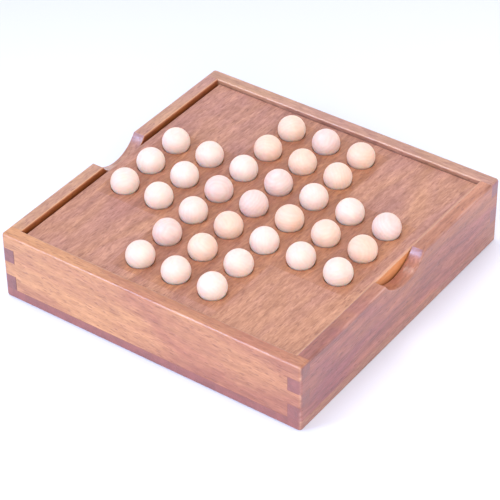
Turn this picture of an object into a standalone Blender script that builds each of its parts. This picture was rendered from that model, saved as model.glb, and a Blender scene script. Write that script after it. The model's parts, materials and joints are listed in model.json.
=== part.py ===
"""Marble solitaire board: a square wooden case with finger-jointed walls, a drop-in playing board and its marbles.

The origin is the middle of the case's underside. +X runs along the front wall, +Y runs towards the back
wall and +Z is up. The two walls across X each have a finger notch, where the board is gripped and lifted.
"""

import math

import bmesh
import bpy
from mathutils import Matrix

# Case
CASE_SIDE = 0.145
CASE_HEIGHT = 0.0313
WALL_THICKNESS = 0.006
BASE_THICKNESS = 0.0044
CORNER_RADIUS = 0.0015
BOTTOM_EDGE_RADIUS = 0.0007
TOP_EDGE_RADIUS = 0.0012
RIM_CHAMFER = 0.0005
FINGER_COUNT = 4
NOTCH_RADIUS = 0.0168
NOTCH_DEPTH = 0.0076

# Playing board
BOARD_THICKNESS = 0.008
BOARD_BELOW_RIM = 0.0018
BOARD_GAP_LEFT = 0.0013
BOARD_GAP_RIGHT = 0.0003
BOARD_GAP_FRONT = 0.0003
BOARD_GAP_BACK = 0.0005
BOARD_CHAMFER = 0.0004
HOLE_PITCH = 0.0175
SOCKET_RADIUS = 0.0063

# Strips that carry the board
LEDGE_WIDTH = 0.004
LEDGE_HEIGHT = 0.006

# Marbles
MARBLE_RADIUS = 0.006
MARBLE_CENTRE_ABOVE_BOARD = 0.0023
COLUMNS = "abcdefg"
ROWS = range(1, 8)
PEACH_CELLS = ("c6", "c7", "d2", "d3", "d6", "e4", "e6", "e7", "f4", "g4")
ROSE_CELLS = ("c2", "c4", "d4", "d5", "d7", "g5")

# Gap kept between touching pieces, and how far a blank or a cutter runs past the surface that trims it
GAP = 0.0003
OVERSHOOT = 0.002

ARC_STEPS = 18
EDGE_STEPS = 3
BALL_SEGMENTS = 16
BALL_RINGS = 10

# Worked-out dimensions
CASE_HALF = CASE_SIDE / 2
INNER_HALF = CASE_HALF - WALL_THICKNESS
WALL_BOTTOM = BASE_THICKNESS + GAP
FINGER_HEIGHT = (CASE_HEIGHT - WALL_BOTTOM) / FINGER_COUNT
BOARD_TOP = CASE_HEIGHT - BOARD_BELOW_RIM
BOARD_BOTTOM = BOARD_TOP - BOARD_THICKNESS
LEDGE_TOP = BOARD_BOTTOM - GAP
MARBLE_HEIGHT = BOARD_TOP + MARBLE_CENTRE_ABOVE_BOARD

# Colours
FRONT_WOOD = (0.62, 0.29, 0.15)
BACK_WOOD = (0.55, 0.24, 0.13)
LEFT_WOOD = (0.52, 0.23, 0.12)
RIGHT_WOOD = (0.40, 0.17, 0.12)
BASE_WOOD = (0.36, 0.15, 0.11)
BOARD_WOOD = (0.50, 0.25, 0.16)
LEDGE_WOOD = (0.58, 0.34, 0.20)
CREAM_WOOD = (0.88, 0.76, 0.64)
PEACH_WOOD = (0.82, 0.60, 0.45)
ROSE_WOOD = (0.83, 0.65, 0.57)
LACQUER_ROUGHNESS = 0.35
BARE_ROUGHNESS = 0.6


def clear_scene():
    for old in list(bpy.data.objects):
        bpy.data.objects.remove(old)


def wood(name, colour, roughness):
    material = bpy.data.materials.new(name)
    material.use_nodes = True
    shader = material.node_tree.nodes["Principled BSDF"]
    shader.inputs["Base Color"].default_value = (*colour, 1)
    shader.inputs["Roughness"].default_value = roughness
    shader.inputs["Metallic"].default_value = 0
    material.diffuse_color = (*colour, 1)
    return material


def new_object(name, bm, location=(0, 0, 0), turn=0):
    """Makes an object from a bmesh whose points are relative to the object's own origin."""
    bmesh.ops.recalc_face_normals(bm, faces=bm.faces)
    mesh = bpy.data.meshes.new(name)
    bm.to_mesh(mesh)
    bm.free()
    piece = bpy.data.objects.new(name, mesh)
    piece.location = location
    piece.rotation_euler = (0, 0, turn)
    bpy.context.scene.collection.objects.link(piece)
    return piece


def as_helper(piece):
    piece.hide_render = True
    piece.display_type = "WIRE"
    return piece


def combine(piece, operation, helper):
    modifier = piece.modifiers.new(helper.name, "BOOLEAN")
    modifier.operation = operation
    modifier.solver = "EXACT"
    modifier.object = helper


def box_bmesh(size):
    bm = bmesh.new()
    bmesh.ops.create_cube(bm, size=1)
    bmesh.ops.scale(bm, vec=size, verts=bm.verts)
    return bm


def arc(centre, radius, start, end, steps):
    """Points on a circular arc, from the start angle to the end angle."""
    angles = [start + (end - start) * i / steps for i in range(steps + 1)]
    return [(centre[0] + radius * math.cos(a), centre[1] + radius * math.sin(a)) for a in angles]


def rounded_square(half, radius):
    """The outline of a square with round corners, anticlockwise."""
    points = []
    for quarter in range(4):
        start = quarter * math.pi / 2
        x_sign = (1, -1, -1, 1)[quarter]
        y_sign = (1, 1, -1, -1)[quarter]
        centre = (x_sign * (half - radius), y_sign * (half - radius))
        points += arc(centre, radius, start, start + math.pi / 2, EDGE_STEPS)
    return points


def make_case_envelope():
    """The outside of the glued and sanded case as one block: it trims each wall and the base."""
    lower = arc((BOTTOM_EDGE_RADIUS, BOTTOM_EDGE_RADIUS), BOTTOM_EDGE_RADIUS, 1.5 * math.pi, math.pi, EDGE_STEPS)
    upper_centre = (TOP_EDGE_RADIUS, CASE_HEIGHT - TOP_EDGE_RADIUS)
    upper = arc(upper_centre, TOP_EDGE_RADIUS, math.pi, math.pi / 2, EDGE_STEPS)
    rim = (WALL_THICKNESS - RIM_CHAMFER, CASE_HEIGHT)
    dish = (WALL_THICKNESS + OVERSHOOT, CASE_HEIGHT - RIM_CHAMFER - OVERSHOOT)
    bm = bmesh.new()
    loops = []
    for inset, height in lower + upper + [rim, dish]:
        outline = rounded_square(CASE_HALF - inset, max(CORNER_RADIUS - inset, GAP))
        loops.append([bm.verts.new((x, y, height)) for x, y in outline])
    for below, above in zip(loops, loops[1:]):
        for i, corner in enumerate(below):
            bm.faces.new((below[i - 1], corner, above[i], above[i - 1]))
    bm.faces.new(loops[0])
    bm.faces.new(loops[-1])
    return as_helper(new_object("case_envelope", bm))


def wall_outline(own_levels, notched):
    """A wall seen from outside, as (along, up) points: fingers at both ends, and the notch in its top edge.

    own_levels are the finger levels, counted from the bottom, at which this wall reaches the case's corner.
    """
    right_end = []
    for level in range(FINGER_COUNT):
        owned = level in own_levels
        reach = CASE_HALF + OVERSHOOT if owned else INNER_HALF - GAP
        clearance = GAP / 2 if owned else -GAP / 2
        low = WALL_BOTTOM + level * FINGER_HEIGHT + clearance
        high = WALL_BOTTOM + (level + 1) * FINGER_HEIGHT - clearance
        if level == 0:
            low = WALL_BOTTOM
        if level == FINGER_COUNT - 1:
            high = CASE_HEIGHT + OVERSHOOT
        right_end += [(reach, low), (reach, high)]
    left_end = [(-along, up) for along, up in reversed(right_end)]
    notch = []
    if notched:
        centre_height = CASE_HEIGHT + NOTCH_RADIUS - NOTCH_DEPTH
        half_angle = math.acos((centre_height - CASE_HEIGHT - OVERSHOOT) / NOTCH_RADIUS)
        down = -math.pi / 2
        notch = arc((0, centre_height), NOTCH_RADIUS, down + half_angle, down - half_angle, ARC_STEPS)
    return right_end + notch + left_end


def make_wall(name, colour, turn, own_levels, notched, envelope):
    """Builds a wall as the front one and turns it to its side of the case."""
    middle = INNER_HALF + WALL_THICKNESS / 2
    bm = bmesh.new()
    inner_face = bm.faces.new(
        [bm.verts.new((along, WALL_THICKNESS / 2, up)) for along, up in wall_outline(own_levels, notched)]
    )
    extruded = bmesh.ops.extrude_face_region(bm, geom=[inner_face])
    outer_points = [item for item in extruded["geom"] if isinstance(item, bmesh.types.BMVert)]
    bmesh.ops.translate(bm, vec=(0, -WALL_THICKNESS - OVERSHOOT, 0), verts=outer_points)
    location = Matrix.Rotation(turn, 3, "Z") @ Matrix.Translation((0, -middle, 0)).translation
    wall = new_object(name, bm, location, turn)
    combine(wall, "INTERSECT", envelope)
    wall.data.materials.append(wood(name, colour, LACQUER_ROUGHNESS))
    return wall


def make_base_panel(envelope):
    side = CASE_SIDE + 2 * OVERSHOOT
    bm = box_bmesh((side, side, BASE_THICKNESS + OVERSHOOT))
    base = new_object("base_panel", bm, (0, 0, (BASE_THICKNESS - OVERSHOOT) / 2))
    combine(base, "INTERSECT", envelope)
    base.data.materials.append(wood("base_panel", BASE_WOOD, LACQUER_ROUGHNESS))
    return base


def make_ledge(name, side):
    """A strip glued inside the front wall (side -1) or the back wall (side 1), under the board's edge."""
    length = 2 * (INNER_HALF - GAP)
    middle = INNER_HALF - GAP - LEDGE_WIDTH / 2
    bm = box_bmesh((length, LEDGE_WIDTH, LEDGE_HEIGHT))
    ledge = new_object(name, bm, (0, side * middle, LEDGE_TOP - LEDGE_HEIGHT / 2))
    ledge.data.materials.append(wood(name, LEDGE_WOOD, BARE_ROUGHNESS))
    return ledge


def hole_cells():
    """The cells of the cross, as (name, x, y): seven columns by seven rows, less the corner blocks."""
    cells = []
    for column, letter in enumerate(COLUMNS):
        for row in ROWS:
            across = column - 3
            along = row - 4
            if min(abs(across), abs(along)) <= 1:
                cells.append((f"{letter}{row}", across * HOLE_PITCH, along * HOLE_PITCH))
    return cells


def add_ball(bm, radius, place=(0, 0, 0)):
    bmesh.ops.create_uvsphere(
        bm,
        u_segments=BALL_SEGMENTS,
        v_segments=BALL_RINGS,
        radius=radius,
        matrix=Matrix.Translation(place),
    )


def make_board(cells):
    left = -INNER_HALF + BOARD_GAP_LEFT
    right = INNER_HALF - BOARD_GAP_RIGHT
    front = -INNER_HALF + BOARD_GAP_FRONT
    back = INNER_HALF - BOARD_GAP_BACK
    middle = ((left + right) / 2, (front + back) / 2, (BOARD_TOP + BOARD_BOTTOM) / 2)
    bm = box_bmesh((right - left, back - front, BOARD_THICKNESS))
    top_edges = [edge for edge in bm.edges if all(point.co.z > 0 for point in edge.verts)]
    bmesh.ops.bevel(bm, geom=top_edges, offset=BOARD_CHAMFER, segments=1, affect="EDGES")
    board = new_object("playing_board", bm, middle)
    sockets = bmesh.new()
    for _, x, y in cells:
        add_ball(sockets, SOCKET_RADIUS, (x, y, MARBLE_HEIGHT))
    combine(board, "DIFFERENCE", as_helper(new_object("socket_cutters", sockets)))
    board.data.materials.append(wood("playing_board", BOARD_WOOD, LACQUER_ROUGHNESS))
    return board


def marble_colour(cell):
    if cell in PEACH_CELLS:
        return PEACH_WOOD
    if cell in ROSE_CELLS:
        return ROSE_WOOD
    return CREAM_WOOD


def make_marbles(cells, board):
    for cell, x, y in cells:
        bm = bmesh.new()
        add_ball(bm, MARBLE_RADIUS)
        marble = new_object(f"marble_{cell}", bm)
        marble.parent = board
        marble.location = (x - board.location.x, y - board.location.y, MARBLE_HEIGHT - board.location.z)
        marble.data.shade_smooth()
        marble.data.materials.append(wood(f"marble_{cell}", marble_colour(cell), BARE_ROUGHNESS))


def main():
    clear_scene()
    envelope = make_case_envelope()
    make_base_panel(envelope)
    quarter = math.pi / 2
    make_wall("front_wall", FRONT_WOOD, 0, (1, 3), False, envelope)
    make_wall("right_wall", RIGHT_WOOD, quarter, (0, 2), True, envelope)
    make_wall("back_wall", BACK_WOOD, 2 * quarter, (1, 3), False, envelope)
    make_wall("left_wall", LEFT_WOOD, 3 * quarter, (0, 2), True, envelope)
    make_ledge("front_ledge", -1)
    make_ledge("back_ledge", 1)
    cells = hole_cells()
    board = make_board(cells)
    make_marbles(cells, board)


main()
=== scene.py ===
"""Looks for the marble solitaire board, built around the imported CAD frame.

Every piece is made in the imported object's own coordinates, in metres. The origin is the middle of
the case's underside, +X runs along the front wall, +Y towards the back wall and +Z up. Sizes come
from the boxes of the CAD nodes.
"""

import json
import math
import random
from typing import NamedTuple

import bmesh
import bpy
from mathutils import Matrix, Vector, noise


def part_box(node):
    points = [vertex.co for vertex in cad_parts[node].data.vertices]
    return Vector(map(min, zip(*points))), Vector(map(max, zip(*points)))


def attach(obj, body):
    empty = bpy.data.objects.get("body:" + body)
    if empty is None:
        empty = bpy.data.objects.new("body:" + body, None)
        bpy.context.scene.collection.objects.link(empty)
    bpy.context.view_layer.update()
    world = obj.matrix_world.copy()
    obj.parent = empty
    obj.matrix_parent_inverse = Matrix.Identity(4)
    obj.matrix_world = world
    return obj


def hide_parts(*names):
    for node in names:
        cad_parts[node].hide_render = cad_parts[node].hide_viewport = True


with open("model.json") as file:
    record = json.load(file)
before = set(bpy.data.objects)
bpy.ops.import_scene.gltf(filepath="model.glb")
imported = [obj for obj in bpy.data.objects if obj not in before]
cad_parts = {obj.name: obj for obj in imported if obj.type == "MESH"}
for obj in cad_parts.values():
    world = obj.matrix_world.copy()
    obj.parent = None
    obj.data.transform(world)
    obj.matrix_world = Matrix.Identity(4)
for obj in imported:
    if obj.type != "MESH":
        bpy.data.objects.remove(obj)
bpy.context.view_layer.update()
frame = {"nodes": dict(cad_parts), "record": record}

# Sizes read from the CAD nodes
BASE_LOW, BASE_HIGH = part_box("base_panel")
FRONT_LOW, FRONT_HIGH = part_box("front_wall")
BOARD_LOW, BOARD_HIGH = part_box("playing_board")
MARBLES = sorted(name for name in frame["nodes"] if name.startswith("marble_"))
MARBLE_LOW, MARBLE_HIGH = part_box("marble_d4")
CASE_HALF = BASE_HIGH.x
CASE_HEIGHT = FRONT_HIGH.z
WALL_THICKNESS = FRONT_HIGH.y - FRONT_LOW.y
INNER_HALF = CASE_HALF - WALL_THICKNESS
WALL_BOTTOM = FRONT_LOW.z
BASE_JOINT = (BASE_HIGH.z + WALL_BOTTOM) / 2
BOARD_TOP = BOARD_HIGH.z
MARBLE_RADIUS = (MARBLE_HIGH.z - MARBLE_LOW.z) / 2
MARBLE_HEIGHT = (MARBLE_HIGH.z + MARBLE_LOW.z) / 2
SOCKET_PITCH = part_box("marble_e4")[0].x - MARBLE_LOW.x

# Sizes of the CAD that its boxes don't give
FINGER_COUNT = 4
FINGER_HEIGHT = (CASE_HEIGHT - WALL_BOTTOM) / FINGER_COUNT
NOTCH_RADIUS = 0.0168
NOTCH_DEPTH = 0.0076
CORNER_RADIUS = 0.0015
BOTTOM_EDGE_RADIUS = 0.0007
TOP_EDGE_RADIUS = 0.0012
SOCKET_RADIUS = 0.0063

# Finer detail than the CAD has
RIM_RADIUS = 0.0009
RIM_FILLET = 0.0012
NOTCH_OUTER_ROUND = 0.0008
NOTCH_INNER_ROUND = 0.0005
SOCKET_LIP = 0.0004
BOARD_EDGE_RADIUS = 0.0005
LEDGE_EDGE_RADIUS = 0.0003
SEAM = 0.00006
OVERSHOOT = 0.002
ARC_STEPS = 8
NOTCH_STEPS = 40
SOCKET_SEGMENTS = 64
SOCKET_STEPS = 12
BEVEL_SEGMENTS = 5
# An arc that would end tangent to the face it cuts stops this much short and meets it at an angle
GRAZE = math.radians(10)
SHARP_ANGLE = math.radians(35)
WELD_DISTANCE = 1e-6

# The marbles' mesh, their seeds and how they differ from true balls, with lengths in radii
MARBLE_SUBDIVISIONS = 5
MARBLE_FIRST_SEED = 1000
MARBLE_MEAN_RADIUS = 0.997
MARBLE_DENT = 0.004
MARBLE_DENTS_PER_RADIUS = 1.7
MARBLE_FLAT_HEIGHT = 0.990
MARBLE_SQUEEZE_Y = 0.006
MARBLE_SQUEEZE_Z = 0.008
MARBLE_GRAIN_SHIFT = 50


# Geometry helpers


def arc(centre, radius, start, end, steps):
    """Points on a circular arc, from the start angle to the end angle."""
    angles = [start + (end - start) * i / steps for i in range(steps + 1)]
    return [(centre[0] + radius * math.cos(a), centre[1] + radius * math.sin(a)) for a in angles]


def loft(loops):
    """A closed solid through loops of points that all have the same count."""
    bm = bmesh.new()
    rings = [[bm.verts.new(point) for point in loop] for loop in loops]
    for below, above in zip(rings, rings[1:]):
        for i, corner in enumerate(below):
            bm.faces.new((below[i - 1], corner, above[i], above[i - 1]))
    bm.faces.new(rings[0])
    bm.faces.new(rings[-1])
    return bm


def new_object(name, bm):
    bmesh.ops.recalc_face_normals(bm, faces=bm.faces)
    mesh = bpy.data.meshes.new(name)
    bm.to_mesh(mesh)
    bm.free()
    made = bpy.data.objects.new(name, mesh)
    bpy.context.scene.collection.objects.link(made)
    return made


def apply_modifiers(piece):
    bpy.context.view_layer.update()
    depsgraph = bpy.context.evaluated_depsgraph_get()
    finished = bpy.data.meshes.new_from_object(piece.evaluated_get(depsgraph))
    piece.modifiers.clear()
    piece.data = finished


def combine(piece, operation, helper):
    modifier = piece.modifiers.new("shape", "BOOLEAN")
    modifier.operation = operation
    modifier.solver = "EXACT"
    modifier.object = helper
    apply_modifiers(piece)


def finish_mesh(piece):
    """Smooth shading that keeps real corners sharp and large faces flat."""
    bm = bmesh.new()
    bm.from_mesh(piece.data)
    bmesh.ops.remove_doubles(bm, verts=bm.verts, dist=WELD_DISTANCE)
    bmesh.ops.dissolve_degenerate(bm, edges=bm.edges, dist=WELD_DISTANCE)
    bmesh.ops.recalc_face_normals(bm, faces=bm.faces)
    bm.to_mesh(piece.data)
    bm.free()
    piece.data.shade_smooth()
    piece.data.set_sharp_from_angle(angle=SHARP_ANGLE)
    weighted = piece.modifiers.new("weighted", "WEIGHTED_NORMAL")
    weighted.keep_sharp = True
    apply_modifiers(piece)


def rounded_square(half, radius):
    """The outline of a square with round corners, anticlockwise."""
    points = []
    for quarter in range(4):
        start = quarter * math.pi / 2
        x_sign = (1, -1, -1, 1)[quarter]
        y_sign = (1, 1, -1, -1)[quarter]
        centre = (x_sign * (half - radius), y_sign * (half - radius))
        points += arc(centre, radius, start, start + math.pi / 2, ARC_STEPS)
    return points


def make_envelope():
    """The outside of the glued and sanded case as one block: it trims each wall and the base."""
    lower_centre = (BOTTOM_EDGE_RADIUS, BOTTOM_EDGE_RADIUS)
    lower = arc(lower_centre, BOTTOM_EDGE_RADIUS, 1.5 * math.pi, math.pi, ARC_STEPS)
    upper_centre = (TOP_EDGE_RADIUS, CASE_HEIGHT - TOP_EDGE_RADIUS)
    upper = arc(upper_centre, TOP_EDGE_RADIUS, math.pi, math.pi / 2, ARC_STEPS)
    rim_centre = (WALL_THICKNESS - RIM_RADIUS, CASE_HEIGHT - RIM_RADIUS)
    rim = arc(rim_centre, RIM_RADIUS, math.pi / 2, GRAZE, ARC_STEPS)
    dish = (WALL_THICKNESS + OVERSHOOT, CASE_HEIGHT - RIM_RADIUS - 3 * OVERSHOOT)
    loops = []
    for inset, height in lower + upper + rim + [dish]:
        outline = rounded_square(CASE_HALF - inset, max(CORNER_RADIUS - inset, SEAM))
        loops.append([(x, y, height) for x, y in outline])
    return new_object("case_envelope", loft(loops))


def dip_profile(radius, rise, fillet, steps):
    """Half of a round dip in a flat surface, as (across, up) points from its bottom outwards.

    The surface is at height 0, and the dip's centre is rise above it. A fillet rounds the lip, and
    the last two points run clear of it.
    """
    across = math.sqrt((radius + fillet) ** 2 - (rise + fillet) ** 2)
    touch = math.atan2(rise + fillet, across)
    dip = arc((0, rise), radius, -math.pi / 2, -touch, steps)
    lip = arc((across, -fillet), fillet, math.pi - touch, math.pi / 2 + GRAZE, ARC_STEPS)
    clear = (lip[-1][0] + OVERSHOOT * math.cos(GRAZE), lip[-1][1] + OVERSHOOT * math.sin(GRAZE))
    return dip + lip[1:] + [clear, (clear[0], clear[1] + OVERSHOOT)]


def notch_outline(widening):
    """The notch's outline as (along, up) points, with its radius grown by the widening."""
    rise = NOTCH_RADIUS - NOTCH_DEPTH
    half = dip_profile(NOTCH_RADIUS + widening, rise, RIM_FILLET, NOTCH_STEPS)
    right = [(along, CASE_HEIGHT + up) for along, up in half]
    left = [(-along, up) for along, up in reversed(right[1:])]
    return left + right


def make_notch_cutter():
    """A cutter across the front wall whose ends flare, which rounds the notch's edges."""
    angles = [GRAZE + (math.pi / 2 - GRAZE) * i / ARC_STEPS for i in range(ARC_STEPS + 1)]
    faces = ((CASE_HALF, -1, NOTCH_OUTER_ROUND), (INNER_HALF, 1, NOTCH_INNER_ROUND))
    stations = []
    for face, inward, rounding in faces:
        flare = rounding * (1 - math.sin(GRAZE)) + OVERSHOOT * math.cos(GRAZE)
        side = [(face - inward * OVERSHOOT, flare)]
        for angle in angles:
            out = face + inward * rounding * (1 - math.cos(angle))
            side.append((out, rounding * (1 - math.sin(angle))))
        stations += side if inward < 0 else side[::-1]
    loops = []
    for out, widening in stations:
        loops.append([(along, -out, up) for along, up in notch_outline(widening)])
    return new_object("notch_cutter", loft(loops))


def wall_outline(own_levels):
    """A wall seen from the front as (along, up) points, with its fingers at both ends.

    own_levels are the finger levels, counted from the bottom, at which this wall reaches the
    corner of the case.
    """
    right_end = []
    for level in range(FINGER_COUNT):
        owned = level in own_levels
        reach = CASE_HALF + OVERSHOOT if owned else INNER_HALF - SEAM
        clearance = SEAM / 2 if owned else -SEAM / 2
        low = WALL_BOTTOM + level * FINGER_HEIGHT + clearance
        high = WALL_BOTTOM + (level + 1) * FINGER_HEIGHT - clearance
        if level == 0:
            low = BASE_JOINT + SEAM / 2
        if level == FINGER_COUNT - 1:
            high = CASE_HEIGHT + OVERSHOOT
        right_end += [(reach, low), (reach, high)]
    return right_end + [(-along, up) for along, up in reversed(right_end)]


def make_wall(name, turn, own_levels, envelope, cutter=None):
    """Builds a wall as the front one and turns it to its side of the case."""
    outline = wall_outline(own_levels)
    inner, outer = -INNER_HALF, -CASE_HALF - OVERSHOOT
    loops = [[(along, depth, up) for along, up in outline] for depth in (inner, outer)]
    wall = new_object(name, loft(loops))
    combine(wall, "INTERSECT", envelope)
    if cutter:
        combine(wall, "DIFFERENCE", cutter)
    wall.data.transform(Matrix.Rotation(turn, 4, "Z"))
    finish_mesh(wall)
    return wall


def box_bmesh(low, high):
    bm = bmesh.new()
    bmesh.ops.create_cube(bm, size=1)
    bmesh.ops.scale(bm, vec=high - low, verts=bm.verts)
    bmesh.ops.translate(bm, vec=(low + high) / 2, verts=bm.verts)
    return bm


def make_base(envelope):
    low = BASE_LOW - Vector((OVERSHOOT, OVERSHOOT, OVERSHOOT))
    high = Vector((BASE_HIGH.x + OVERSHOOT, BASE_HIGH.y + OVERSHOOT, BASE_JOINT - SEAM / 2))
    base = new_object("base_panel_plank", box_bmesh(low, high))
    combine(base, "INTERSECT", envelope)
    finish_mesh(base)
    return base


def rounded_box(name, low, high, radius, top_only=False):
    bm = box_bmesh(low, high)
    edges = bm.edges
    if top_only:
        edges = [e for e in bm.edges if any(v.co.z > (low.z + high.z) / 2 for v in e.verts)]
    bmesh.ops.bevel(
        bm, geom=list(edges), offset=radius, segments=BEVEL_SEGMENTS, affect="EDGES", profile=0.5
    )
    return new_object(name, bm)


def make_board():
    """The playing board: a rounded panel less one round socket under each marble."""
    board = rounded_box(
        "playing_board_panel", BOARD_LOW, BOARD_HIGH, BOARD_EDGE_RADIUS, top_only=True
    )
    rise = MARBLE_HEIGHT - BOARD_TOP
    profile = dip_profile(SOCKET_RADIUS, rise, SOCKET_LIP, SOCKET_STEPS)
    cutters = bmesh.new()
    for marble in MARBLES:
        low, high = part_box(marble)
        middle = (low + high) / 2
        rings = []
        for across, up in profile[1:]:
            ring = []
            for i in range(SOCKET_SEGMENTS):
                angle = 2 * math.pi * i / SOCKET_SEGMENTS
                x = middle.x + across * math.cos(angle)
                y = middle.y + across * math.sin(angle)
                ring.append(cutters.verts.new((x, y, BOARD_TOP + up)))
            rings.append(ring)
        pole = cutters.verts.new((middle.x, middle.y, BOARD_TOP + profile[0][1]))
        for i in range(SOCKET_SEGMENTS):
            cutters.faces.new((pole, rings[0][i], rings[0][i - 1]))
        for below, above in zip(rings, rings[1:]):
            for i in range(SOCKET_SEGMENTS):
                cutters.faces.new((below[i - 1], below[i], above[i], above[i - 1]))
        cutters.faces.new(rings[-1])
    cutter = new_object("socket_cutters", cutters)
    combine(board, "DIFFERENCE", cutter)
    bpy.data.objects.remove(cutter)
    finish_mesh(board)
    return board


def make_marble(node, index):
    """A turned wooden ball, slightly out of round and with a small flat at each pole.

    Two attributes carry its grain and its tone to the material.
    """
    chance = random.Random(MARBLE_FIRST_SEED + index)
    low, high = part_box(node)
    centre = Vector(((low.x + high.x) / 2, (low.y + high.y) / 2, MARBLE_HEIGHT))
    bm = bmesh.new()
    bmesh.ops.create_icosphere(bm, subdivisions=MARBLE_SUBDIVISIONS, radius=1)
    spin = Matrix.Rotation(chance.uniform(0, 2 * math.pi), 3, "Z")
    tilt = Matrix.Rotation(math.acos(chance.uniform(-1, 1)), 3, "Y")
    turn = Matrix.Rotation(chance.uniform(0, 2 * math.pi), 3, "Z") @ tilt @ spin
    furthest = MARBLE_GRAIN_SHIFT
    shift = Vector([chance.uniform(-furthest, furthest) for axis in range(3)])
    squeeze_y = 1 - chance.uniform(0, MARBLE_SQUEEZE_Y)
    squeeze_z = 1 - chance.uniform(0, MARBLE_SQUEEZE_Z)
    squeeze = Vector((1, squeeze_y, squeeze_z))
    grain = []
    for vert in bm.verts:
        local = vert.co.copy()
        grain.append(local * MARBLE_RADIUS + shift * MARBLE_RADIUS)
        dent = MARBLE_DENT * noise.noise(local * MARBLE_DENTS_PER_RADIUS + shift)
        local *= MARBLE_MEAN_RADIUS + dent
        local.z = max(-MARBLE_FLAT_HEIGHT, min(MARBLE_FLAT_HEIGHT, local.z))
        local = Vector((local.x * squeeze.x, local.y * squeeze.y, local.z * squeeze.z))
        vert.co = centre + turn @ (local * MARBLE_RADIUS)
    marble = new_object(node + "_ball", bm)
    marble.data.shade_smooth()
    stored = marble.data.attributes.new("grain", "FLOAT_VECTOR", "POINT")
    stored.data.foreach_set("vector", [value for point in grain for value in point])
    tone = marble.data.attributes.new("tone", "FLOAT", "POINT")
    tone.data.foreach_set("value", [chance.uniform(0, 1)] * len(grain))
    return marble


# Materials

BARE = (1.0, 1.0, 1.0)
# Rounded edges get paler: partly wear of the finish, partly painted highlight and reflection
WORN_AND_HIGHLIT_INSIDE = (0.62, 0.34, 0.20)
WORN_AND_HIGHLIT_INSIDE_SHARE = (0.8, 0.8, 0.8)
WEAR_AND_HIGHLIGHT_GAIN = 3.4
PORE_FACTORS = (0.50, 0.38, 0.34)
PORE_SHARE = 0.45
WOOD_BUMP_HEIGHT = 0.00020
WOOD_COAT_ROUGHNESS = 0.17
MARBLE_BUMP_HEIGHT = 0.00008
# Painted shade on a wall's inner face goes from lighter to full between two depths under the rim
INSIDE_SHADE_UPPER_FACTORS = (1.3, 1.6, 2.4)
INSIDE_SHADE_UPPER_DEPTH = 0.0005
INSIDE_SHADE_FULL_DEPTH = 0.0035
# The board's marks, painted shade and highlights among them. Its arms are three sockets wide and
# seven long, and rows count from the middle
# Painted shade around the sockets
BOARD_SOCKET_SHADE = (0.86, 0.75, 0.55)
BOARD_ARM_ROWS = 1.5
BOARD_ALL_ROWS = 3.5
# Painted highlight along two of the board's edges
BOARD_EDGE_HIGHLIGHT = (0.68, 0.34, 0.20)
# The board's sides: orange from their own colour and painted light at the top, painted shade lower
# down
BOARD_SIDE_UPPER_LIT = (1.25, 1.02, 0.62)
BOARD_SIDE_LOWER_SHADE = (0.62, 0.40, 0.25)
BOARD_SIDE_LIT_DEPTH = 0.002
BOARD_SIDE_SHADE_DEPTH = 0.0075
# The places of a Mix node's colour sockets, which share their names with its other sockets
MIX_SHARE, MIX_FIRST, MIX_SECOND, MIX_RESULT = 0, 6, 7, 2


class Wood(NamedTuple):
    """The look of one piece's wood. Colours are linear RGB, and offsets are in metres.

    grain is the axis along the fibres, and across is the axis of the faces that meet at the rounded
    edges. The edge colour is partly wear and partly painted highlight and reflection. The inside
    colour multiplies the inner faces as painted shade, and the top colour multiplies the top faces
    as painted light.
    """

    golden: tuple
    rosy: tuple
    end: tuple = (0.250, 0.080, 0.070)
    grain: str = "X"
    across: str = "Y"
    offset: tuple = (0.0, 0.0, 0.0)
    tilt: tuple = (0.0, 0.0, 0.0)
    drift: tuple = (0.0, 0.0, 0.0)
    figure: float = 0.20
    streaks: float = 0.30
    # Painted shade on the inner faces
    inside: tuple = BARE
    # Painted light on the top faces
    top: tuple = BARE
    # Edge colour: partly wear, partly painted highlight and reflection
    worn_and_highlight: tuple = (0.62, 0.34, 0.23)
    coat: float = 0.6
    roughness: float = 0.45


def new_material(name):
    material = bpy.data.materials.new(name)
    material.use_nodes = True
    return material, material.node_tree, material.node_tree.nodes["Principled BSDF"]


def add(tree, kind, inputs=None, **settings):
    """Adds a shader node, sets it up and links or fills its inputs."""
    made = tree.nodes.new("ShaderNode" + kind)
    for key, value in settings.items():
        setattr(made, key, value)
    for socket, value in (inputs or {}).items():
        if isinstance(value, bpy.types.NodeSocket):
            tree.links.new(value, made.inputs[socket])
        else:
            made.inputs[socket].default_value = value
    return made


def calc(tree, operation, first, second=0.0, clamp=False):
    inputs = {0: first, 1: second}
    return add(tree, "Math", inputs, operation=operation, use_clamp=clamp).outputs[0]


def rising(tree, value, low, high, highest=1):
    """A share that rises from 0 to its highest as the value goes from low to high."""
    inputs = {0: value, 1: low, 2: high, 3: 0, 4: highest}
    return add(tree, "MapRange", inputs).outputs[0]


def ramp(tree, value, stops):
    """A ramp through (position, colour) stops. A colour is a grey level or three channels."""
    made = add(tree, "ValToRGB", {"Fac": value})
    elements = made.color_ramp.elements
    while len(elements) < len(stops):
        elements.new(0.5)
    for element, (position, colour) in zip(elements, stops):
        element.position = position
        element.color = (*colour, 1) if isinstance(colour, tuple) else (colour, colour, colour, 1)
    return made.outputs["Color"]


def mix(tree, share, first, second, blend="MIX"):
    """Mixes two colours by a share."""
    inputs = {MIX_SHARE: share, MIX_FIRST: first, MIX_SECOND: second}
    inputs = {k: (*v, 1) if isinstance(v, tuple) else v for k, v in inputs.items()}
    return add(tree, "Mix", inputs, data_type="RGBA", blend_type=blend).outputs[MIX_RESULT]


def multiply(tree, body, factor):
    """Multiplies a colour by another."""
    return mix(tree, 1.0, body, factor, "MULTIPLY")


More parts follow.
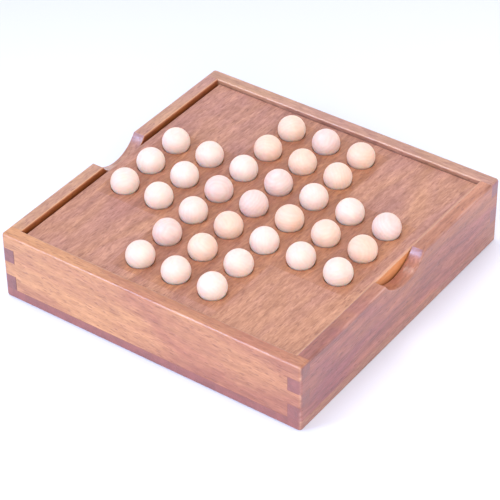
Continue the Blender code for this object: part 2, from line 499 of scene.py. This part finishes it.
def textured_noise(tree, vector, scale, stretch, axis, detail, roughness=0.5, distortion=0.0):
    """Noise with about scale features per metre across the grain, stretched along the axis."""
    scales = [scale, scale, scale]
    scales["XYZ".index(axis)] = scale * stretch
    mapped = add(tree, "Mapping", {"Vector": vector, "Scale": scales}).outputs[0]
    inputs = {
        "Vector": mapped,
        "Scale": 1.0,
        "Detail": detail,
        "Roughness": roughness,
        "Distortion": distortion,
    }
    return add(tree, "TexNoise", inputs).outputs[0]


def shade(colour, factors):
    """A colour with each channel multiplied by its own factor."""
    return tuple(channel * factor for channel, factor in zip(colour, factors))


def tone_between(tree, texture, spread):
    """A multiplier that swings around 1 with a texture, more in green and blue than in red."""
    low = tuple(1 - spread * share for share in (0.8, 1.0, 1.1))
    high = tuple(1 + spread * share for share in (0.7, 1.0, 1.1))
    return mix(tree, ramp(tree, texture, [(0.28, 0.0), (0.72, 1.0)]), low, high)


def end_grain(tree, wood, normal, bands, body):
    """End grain is speckled instead of streaked."""
    facing = calc(tree, "ABSOLUTE", normal.outputs["XYZ".index(wood.grain)])
    speckle = ramp(tree, bands, [(0.3, 0.80), (0.7, 1.20)])
    end = multiply(tree, wood.end, speckle)
    return mix(tree, ramp(tree, facing, [(0.55, 0.0), (0.90, 1.0)]), body, end)


def worn_and_highlit_edges(tree, wood, normal, widest, patches, bands, body):
    """Paler rounded edges, partly wear of the finish and partly painted highlight and reflection,
    in patches outside and evenly inside.
    """
    side = calc(tree, "ABSOLUTE", normal.outputs["XYZ".index(wood.across)])
    side_square = calc(tree, "MULTIPLY", side, side)
    rest = calc(tree, "SQRT", calc(tree, "SUBTRACT", 1.0, side_square, clamp=True))
    edge = calc(tree, "SUBTRACT", 1.0, calc(tree, "MAXIMUM", side, rest))
    edge = calc(tree, "MULTIPLY", edge, WEAR_AND_HIGHLIGHT_GAIN, clamp=True)
    inward = calc(tree, "LESS_THAN", widest, (CASE_HALF + INNER_HALF) / 2)
    large = ramp(tree, patches, [(0.40, 0.1), (0.60, 0.9)])
    small = ramp(tree, bands, [(0.42, 0.2), (0.60, 0.9)])
    patchy = mix(tree, inward, calc(tree, "MULTIPLY", large, small), WORN_AND_HIGHLIT_INSIDE_SHARE)
    worn_and_highlight = mix(tree, inward, wood.worn_and_highlight, WORN_AND_HIGHLIT_INSIDE)
    return mix(tree, calc(tree, "MULTIPLY", edge, patchy), body, worn_and_highlight)


def paint_top_face_light(tree, wood, normal, body):
    """Painted light: a wall's top faces come out lighter than its sides."""
    upper = ramp(tree, normal.outputs[2], [(0.60, 0.0), (0.95, 1.0)])
    return mix(tree, upper, body, multiply(tree, body, wood.top))


def painted_inside_shade(tree, wood, place, widest, body):
    """Painted shade on a wall's inner faces inside the case, darker further down."""
    inner = calc(tree, "LESS_THAN", widest, INNER_HALF + RIM_RADIUS / 4)
    depth = calc(tree, "SUBTRACT", CASE_HEIGHT, place.outputs[2])
    deep = rising(tree, depth, INSIDE_SHADE_UPPER_DEPTH, INSIDE_SHADE_FULL_DEPTH)
    darker = mix(tree, deep, shade(wood.inside, INSIDE_SHADE_UPPER_FACTORS), wood.inside)
    return mix(tree, inner, body, multiply(tree, body, darker))


def wood_material(name, wood, zones=None):
    """Lacquered hardwood, between golden and rosy, under fine light and dark fibres.

    Its grain runs along one axis, turned a little off it by the tilt. The drift is how much more
    golden it gets per metre along X, Y and Z. Zones, if given, is a function that adds marks,
    painted shade and highlights among them.
    """
    material, tree, shader = new_material(name)
    coordinates = add(tree, "TexCoord")
    position = coordinates.outputs["Object"]
    place = add(tree, "SeparateXYZ", {0: position})
    normal = add(tree, "SeparateXYZ", {0: coordinates.outputs["Normal"]})
    inputs = {"Vector": position, "Location": wood.offset, "Rotation": wood.tilt}
    placed = add(tree, "Mapping", inputs).outputs[0]

    def layer(scale, stretch, detail, roughness=0.5, distortion=0.0):
        return textured_noise(
            tree, placed, scale, stretch, wood.grain, detail, roughness, distortion
        )

    patches = layer(scale=60, stretch=0.38, detail=3, roughness=0.55, distortion=0.8)
    bands = layer(scale=260, stretch=0.08, detail=3, roughness=0.60, distortion=0.3)
    fibres = layer(scale=900, stretch=0.22, detail=2, roughness=0.6, distortion=0.3)
    hairs = layer(scale=2300, stretch=0.17, detail=2, roughness=0.6)
    pore_noise = layer(scale=1500, stretch=0.20, detail=1)
    pores = ramp(tree, pore_noise, [(0.60, 0.0), (0.70, 1.0)])

    share = ramp(tree, patches, [(0.32, 0.0), (0.68, 1.0)])
    inputs = {0: position, 1: wood.drift}
    drift = add(tree, "VectorMath", inputs, operation="DOT_PRODUCT")
    share = calc(tree, "ADD", share, drift.outputs["Value"], clamp=True)
    body = mix(tree, share, wood.rosy, wood.golden)
    textures = ((bands, wood.figure), (fibres, wood.streaks), (hairs, wood.streaks / 2))
    for texture, spread in textures:
        body = multiply(tree, body, tone_between(tree, texture, spread))
    dark = calc(tree, "MULTIPLY", pores, PORE_SHARE)
    body = mix(tree, dark, body, shade(wood.rosy, PORE_FACTORS))
    if zones:
        body = zones(tree, place, normal, body)

    body = end_grain(tree, wood, normal, bands, body)
    widest = calc(tree, "ABSOLUTE", place.outputs["XYZ".index(wood.across)])
    # Paler edges: partly wear, partly painted highlight and reflection
    body = worn_and_highlit_edges(tree, wood, normal, widest, patches, bands, body)
    # Painted light on the top faces
    if wood.top != BARE:
        body = paint_top_face_light(tree, wood, normal, body)
    # Painted shade on the inner faces, deeper further down
    if wood.inside != BARE:
        body = painted_inside_shade(tree, wood, place, widest, body)
    tree.links.new(body, shader.inputs["Base Color"])

    rough = ramp(tree, bands, [(0.25, wood.roughness - 0.07), (0.75, wood.roughness + 0.09)])
    tree.links.new(rough, shader.inputs["Roughness"])
    height = calc(tree, "SUBTRACT", fibres, calc(tree, "MULTIPLY", pores, 0.5))
    for socket, strength in (("Normal", 0.6), ("Coat Normal", 0.10)):
        inputs = {"Strength": strength, "Distance": WOOD_BUMP_HEIGHT, "Height": height}
        bump = add(tree, "Bump", inputs)
        tree.links.new(bump.outputs[0], shader.inputs[socket])
    shader.inputs["Coat Weight"].default_value = wood.coat
    shader.inputs["Coat Roughness"].default_value = WOOD_COAT_ROUGHNESS
    return material


def board_zones(tree, place, normal, body):
    """Board marks: painted shade near sockets, painted highlight on two edges, orange sides with
    painted light and shade.
    """
    grid = []
    for axis in (0, 1):
        steps = calc(tree, "DIVIDE", place.outputs[axis], SOCKET_PITCH)
        nearest = calc(tree, "ROUND", steps)
        grid.append((calc(tree, "SUBTRACT", steps, nearest), calc(tree, "ABSOLUTE", nearest)))
    (x_off, x_row), (y_off, y_row) = grid
    x_square = calc(tree, "MULTIPLY", x_off, x_off)
    y_square = calc(tree, "MULTIPLY", y_off, y_off)
    distance = calc(tree, "SQRT", calc(tree, "ADD", x_square, y_square))
    near = ramp(tree, distance, [(0.36, 1.0), (0.62, 0.45)])
    in_arm = calc(tree, "LESS_THAN", calc(tree, "MINIMUM", x_row, y_row), BOARD_ARM_ROWS)
    in_reach = calc(tree, "LESS_THAN", calc(tree, "MAXIMUM", x_row, y_row), BOARD_ALL_ROWS)
    # Painted shade near the sockets, within the board's cross
    socket_shade = calc(tree, "MULTIPLY", near, calc(tree, "MULTIPLY", in_arm, in_reach))
    body = mix(tree, socket_shade, body, multiply(tree, body, BOARD_SOCKET_SHADE))

    # Painted highlight: the right and front edges are paler than the rest
    half = BOARD_HIGH.x
    for axis, sign, width, strength in ((0, 1, 0.0014, 0.55), (1, -1, 0.0008, 0.45)):
        reach = calc(tree, "MULTIPLY", place.outputs[axis], sign)
        edge_highlight = rising(tree, reach, half - width, half - width / 2, strength)
        body = mix(tree, edge_highlight, body, BOARD_EDGE_HIGHLIGHT)

    # The sides are orange, their own bare colour raised by painted light at the top, with painted
    # shade further down
    distances = [calc(tree, "ABSOLUTE", place.outputs[axis]) for axis in (0, 1)]
    widest = calc(tree, "MAXIMUM", *distances)
    at_rim = calc(tree, "GREATER_THAN", widest, half - BOARD_EDGE_RADIUS)
    upward = calc(tree, "ABSOLUTE", normal.outputs[2])
    sides = calc(tree, "MULTIPLY", at_rim, ramp(tree, upward, [(0.15, 1.0), (0.50, 0.0)]))
    depth = calc(tree, "SUBTRACT", BOARD_TOP, place.outputs[2])
    deep = rising(tree, depth, BOARD_SIDE_LIT_DEPTH, BOARD_SIDE_SHADE_DEPTH)
    tint = mix(tree, deep, BOARD_SIDE_UPPER_LIT, BOARD_SIDE_LOWER_SHADE)
    return mix(tree, sides, body, multiply(tree, body, tint))


def marble_material(name, pale, warm, stripes):
    """Sanded wood between pale and warm. The ball's own grain and tone come with its mesh."""
    material, tree, shader = new_material(name)
    grain = add(tree, "Attribute", attribute_name="grain").outputs["Vector"]
    tone = add(tree, "Attribute", attribute_name="tone").outputs["Fac"]
    lines = add(
        tree,
        "TexWave",
        {"Vector": grain, "Scale": 230, "Distortion": 4.5, "Detail": 3.0, "Detail Scale": 1.4},
        wave_type="BANDS",
        bands_direction="X",
    ).outputs["Fac"]
    fibre = textured_noise(tree, grain, 1100, 0.07, "Z", detail=2, roughness=0.6)
    cloud = textured_noise(tree, grain, 130, 0.5, "Z", detail=2, roughness=0.5)
    striped = calc(tree, "MULTIPLY", lines, stripes)
    share = calc(tree, "ADD", striped, calc(tree, "MULTIPLY", cloud, 0.7))
    share = calc(tree, "ADD", share, calc(tree, "MULTIPLY", tone, 0.45))
    share = calc(tree, "SUBTRACT", share, 0.25, clamp=True)
    body = mix(tree, share, pale, warm)
    body = multiply(tree, body, ramp(tree, fibre, [(0.3, 0.94), (0.7, 1.02)]))
    tree.links.new(body, shader.inputs["Base Color"])
    rough = ramp(tree, fibre, [(0.25, 0.42), (0.75, 0.55)])
    tree.links.new(rough, shader.inputs["Roughness"])
    bump = add(tree, "Bump", {"Strength": 0.2, "Distance": MARBLE_BUMP_HEIGHT, "Height": fibre})
    tree.links.new(bump.outputs[0], shader.inputs["Normal"])
    shader.inputs["Coat Weight"].default_value = 0.15
    shader.inputs["Coat Roughness"].default_value = 0.35
    shader.inputs["Sheen Weight"].default_value = 0.35
    shader.inputs["Sheen Roughness"].default_value = 0.45
    shader.inputs["Sheen Tint"].default_value = (1.0, 0.72, 0.58, 1)
    shader.inputs["Subsurface Weight"].default_value = 0.8
    shader.inputs["Subsurface Radius"].default_value = (1.0, 0.45, 0.30)
    shader.inputs["Subsurface Scale"].default_value = 0.005
    return material


def floor_material():
    """Pale, faintly blue studio paper, with painted shade that darkens it towards the back left."""
    material, tree, shader = new_material("studio_floor")
    coordinates = add(tree, "TexCoord").outputs["Object"]
    cloud = textured_noise(tree, coordinates, scale=3, stretch=1, axis="X", detail=2)
    near = ramp(tree, cloud, [(0.3, (0.82, 0.83, 0.94)), (0.7, (0.84, 0.85, 0.96))])
    inputs = {0: coordinates, 1: (-2.0, 2.0, 0)}
    back_left_shade = add(tree, "VectorMath", inputs, operation="DOT_PRODUCT")
    share = rising(tree, back_left_shade.outputs["Value"], 0, 1)
    # Towards the back left the colour goes to a painted shade
    tree.links.new(mix(tree, share, near, (0.52, 0.515, 0.585)), shader.inputs["Base Color"])
    shader.inputs["Roughness"].default_value = 0.7
    return material


# Pieces

QUARTER = math.pi / 2
envelope = make_envelope()
notch_cutter = make_notch_cutter()
FRONT_BACK_LEVELS = (1, 3)
SIDE_LEVELS = (0, 2)


class Wall(NamedTuple):
    """One wall of the case: its names, its place and the look of its wood."""

    piece: str
    node: str
    turn: float
    levels: tuple
    notched: bool
    wood: Wood


WALLS = (
    Wall(
        piece="front_wall_plank", node="front_wall",
        turn=0, levels=FRONT_BACK_LEVELS, notched=False,
        wood=Wood(
            golden=(0.52, 0.225, 0.099), rosy=(0.370, 0.123, 0.070), end=(0.236, 0.079, 0.065),
            offset=(0.11, 0.03, 0.07), tilt=(0, -0.045, 0), drift=(-8, 0, 0),
            figure=0.22, streaks=0.18,
        ),
    ),
    Wall(
        piece="right_wall_plank", node="right_wall",
        turn=QUARTER, levels=SIDE_LEVELS, notched=True,
        wood=Wood(
            golden=(0.358, 0.116, 0.061), rosy=(0.255, 0.069, 0.070), grain="Y", across="X",
            offset=(0.07, 0.21, 0.13), tilt=(0.02, 0, 0), drift=(0, 2.5, 8),
            # The top colour paints light on this wall's top faces
            figure=0.48, streaks=0.17, worn_and_highlight=(0.50, 0.26, 0.22), top=(1.08, 1.20, 1.28),
        ),
    ),
    Wall(
        piece="back_wall_plank", node="back_wall",
        turn=2 * QUARTER, levels=FRONT_BACK_LEVELS, notched=False,
        wood=Wood(
            golden=(0.43, 0.210, 0.123), rosy=(0.37, 0.160, 0.125), end=(0.250, 0.088, 0.098),
            offset=(0.31, 0.11, 0.05), tilt=(0, -0.03, 0), drift=(-2, 0, 0),
            streaks=0.24, worn_and_highlight=(0.32, 0.19, 0.20),
        ),
    ),
    Wall(
        piece="left_wall_plank", node="left_wall",
        turn=-QUARTER, levels=SIDE_LEVELS, notched=True,
        wood=Wood(
            golden=(0.46, 0.220, 0.120), rosy=(0.38, 0.165, 0.130), end=(0.225, 0.073, 0.068),
            grain="Y", across="X", offset=(0.17, 0.05, 0.19), tilt=(0.03, 0, 0), drift=(0, -4, 0),
            # The inside colour paints shade on this wall's inner faces
            streaks=0.24, inside=(0.60, 0.30, 0.10), worn_and_highlight=(0.34, 0.22, 0.24),
        ),
    ),
)
for piece_name, node, turn, levels, notched, wood in WALLS:
    cutter = notch_cutter if notched else None
    wall = make_wall(piece_name, turn, levels, envelope, cutter)
    wall.data.materials.clear()
    wall.data.materials.append(wood_material(node + "_wood", wood))
    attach(wall, "case")
    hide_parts(node)

base = make_base(envelope)
base.data.materials.clear()
base_wood = Wood(
    golden=(0.35, 0.135, 0.074), rosy=(0.30, 0.105, 0.078), end=(0.260, 0.081, 0.069),
    grain="Y", across="X", offset=(0.23, 0.37, 0.02), tilt=(0, 0, 0.01),
)
base.data.materials.append(wood_material("base_panel_wood", base_wood))
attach(base, "case")
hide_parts("base_panel")
for helper in (envelope, notch_cutter):
    bpy.data.objects.remove(helper)

ledge_wood = Wood(
    golden=(0.55, 0.36, 0.22), rosy=(0.48, 0.29, 0.18), offset=(0.05, 0.09, 0.33),
    coat=0.0, roughness=0.6,
)
bare_wood = wood_material("ledge_wood_bare", ledge_wood)
for node in ("front_ledge", "back_ledge"):
    low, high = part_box(node)
    ledge = rounded_box(node + "_strip", low, high, LEDGE_EDGE_RADIUS)
    finish_mesh(ledge)
    ledge.data.materials.clear()
    ledge.data.materials.append(bare_wood)
    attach(ledge, "case")
    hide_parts(node)

board = make_board()
board.data.materials.clear()
board_wood = Wood(
    golden=(0.450, 0.192, 0.109), rosy=(0.378, 0.154, 0.116), grain="Y", across="X",
    offset=(0.02, 0.15, 0.09), tilt=(0, 0, 0.03), drift=(3, -2, 0),
    figure=0.26, streaks=0.27, coat=0.4, roughness=0.5,
)
board.data.materials.append(wood_material("playing_board_wood", board_wood, board_zones))
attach(board, "board")
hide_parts("playing_board")

marble_looks = {
    "marble_cream": marble_material(
        "marble_cream_wood", pale=(0.76, 0.620, 0.570), warm=(0.72, 0.540, 0.465), stripes=0.18
    ),
    "marble_peach": marble_material(
        "marble_peach_wood", pale=(0.76, 0.575, 0.485), warm=(0.72, 0.475, 0.365), stripes=0.24
    ),
    "marble_rose": marble_material(
        "marble_rose_wood", pale=(0.74, 0.575, 0.535), warm=(0.67, 0.470, 0.430), stripes=0.38
    ),
}
slot_of = {part["node"]: part["material_slot"] for part in frame["record"]["subparts"]}
for index, node in enumerate(MARBLES):
    slot = slot_of[node]
    marble = make_marble(node, index)
    marble.data.materials.append(marble_looks[slot])
    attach(marble, node)
    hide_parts(node)

# Stage, light and camera

FLOOR_RADIUS = 0.75
FLOOR_SEGMENTS = 96
# The floor lies just under the case, so that the two faces never coincide
FLOOR_GAP = 0.0002
ROOM_BRIGHTNESS = 1.4

floor_mesh = bmesh.new()
bmesh.ops.create_circle(floor_mesh, cap_ends=True, segments=FLOOR_SEGMENTS, radius=FLOOR_RADIUS)
floor = new_object("studio_floor", floor_mesh)
floor.data.materials.append(floor_material())
floor.location.z = -FLOOR_GAP

# The room is bright up to a little above the horizon and dimmer overhead
world = bpy.data.worlds.new("studio")
bpy.context.scene.world = world
world.use_nodes = True
room = world.node_tree
height = add(room, "SeparateXYZ", {0: add(room, "TexCoord").outputs["Generated"]}).outputs[2]
sky = ramp(room, height, [(0.28, (0.94, 0.96, 1.0)), (0.55, (0.21, 0.22, 0.26))])
room.links.new(sky, room.nodes["Background"].inputs["Color"])
room.nodes["Background"].inputs["Strength"].default_value = ROOM_BRIGHTNESS


def area_light(name, direction, distance, size, power, colour):
    """A square soft box that points at the object from a direction."""
    light = bpy.data.lights.new(name, "AREA")
    light.shape = "SQUARE"
    light.size = size
    light.energy = power
    light.color = colour
    lamp = bpy.data.objects.new(name, light)
    bpy.context.scene.collection.objects.link(lamp)
    direction = Vector(direction).normalized()
    lamp.location = direction * distance
    lamp.rotation_euler = direction.to_track_quat("Z", "Y").to_euler()


area_light(
    "key_light", (0.45, -0.66, 0.59), distance=1.5, size=1.2, power=16.5, colour=(1.0, 1.0, 0.94)
)
area_light(
    "top_light", (-0.16, 0.03, 0.98), distance=1.3, size=0.45, power=6.2, colour=(1.0, 0.98, 0.93)
)
area_light(
    "left_light", (-0.93, -0.10, 0.36), distance=1.3, size=1.2, power=1.2, colour=(0.95, 1.0, 0.85)
)
area_light(
    "back_light", (-0.30, 0.75, 0.55), distance=1.3, size=1.2, power=3.0, colour=(1.0, 0.92, 0.90)
)
area_light(
    "right_light", (0.72, 0.40, 0.57), distance=1.3, size=1.2, power=3.4, colour=(0.95, 0.95, 0.95)
)
area_light(
    "window_light",
    (-0.45, -0.66, 0.60),
    distance=1.3,
    size=0.34,
    power=9.5,
    colour=(0.42, 0.60, 1.0),
)

CAMERA_AZIMUTH = math.radians(35.79)
CAMERA_ELEVATION = math.radians(37.91)
CAMERA_ROLL = math.radians(-0.70)
CAMERA_DISTANCE = 0.9067
CAMERA_TARGET = Vector((-0.00775, 0.00768, 0))
CAMERA_LENS = 156.34
CAMERA_SENSOR_WIDTH = 36
CAMERA_CLIP_START = 0.05
camera = bpy.data.objects.new("camera", bpy.data.cameras.new("camera"))
bpy.context.scene.collection.objects.link(camera)
camera.data.lens = CAMERA_LENS
camera.data.sensor_width = CAMERA_SENSOR_WIDTH
camera.data.clip_start = CAMERA_CLIP_START
back = Vector(
    (
        math.sin(CAMERA_AZIMUTH) * math.cos(CAMERA_ELEVATION),
        -math.cos(CAMERA_AZIMUTH) * math.cos(CAMERA_ELEVATION),
        math.sin(CAMERA_ELEVATION),
    )
)
right = Vector((math.cos(CAMERA_AZIMUTH), math.sin(CAMERA_AZIMUTH), 0))
upward = back.cross(right)
rolled_right = right * math.cos(CAMERA_ROLL) + upward * math.sin(CAMERA_ROLL)
rolled_up = upward * math.cos(CAMERA_ROLL) - right * math.sin(CAMERA_ROLL)
turn = Matrix((rolled_right, rolled_up, back)).transposed()
camera.matrix_world = Matrix.Translation(CAMERA_TARGET + back * CAMERA_DISTANCE) @ turn.to_4x4()
bpy.context.scene.camera = camera
bpy.context.scene.view_settings.view_transform = "Standard"
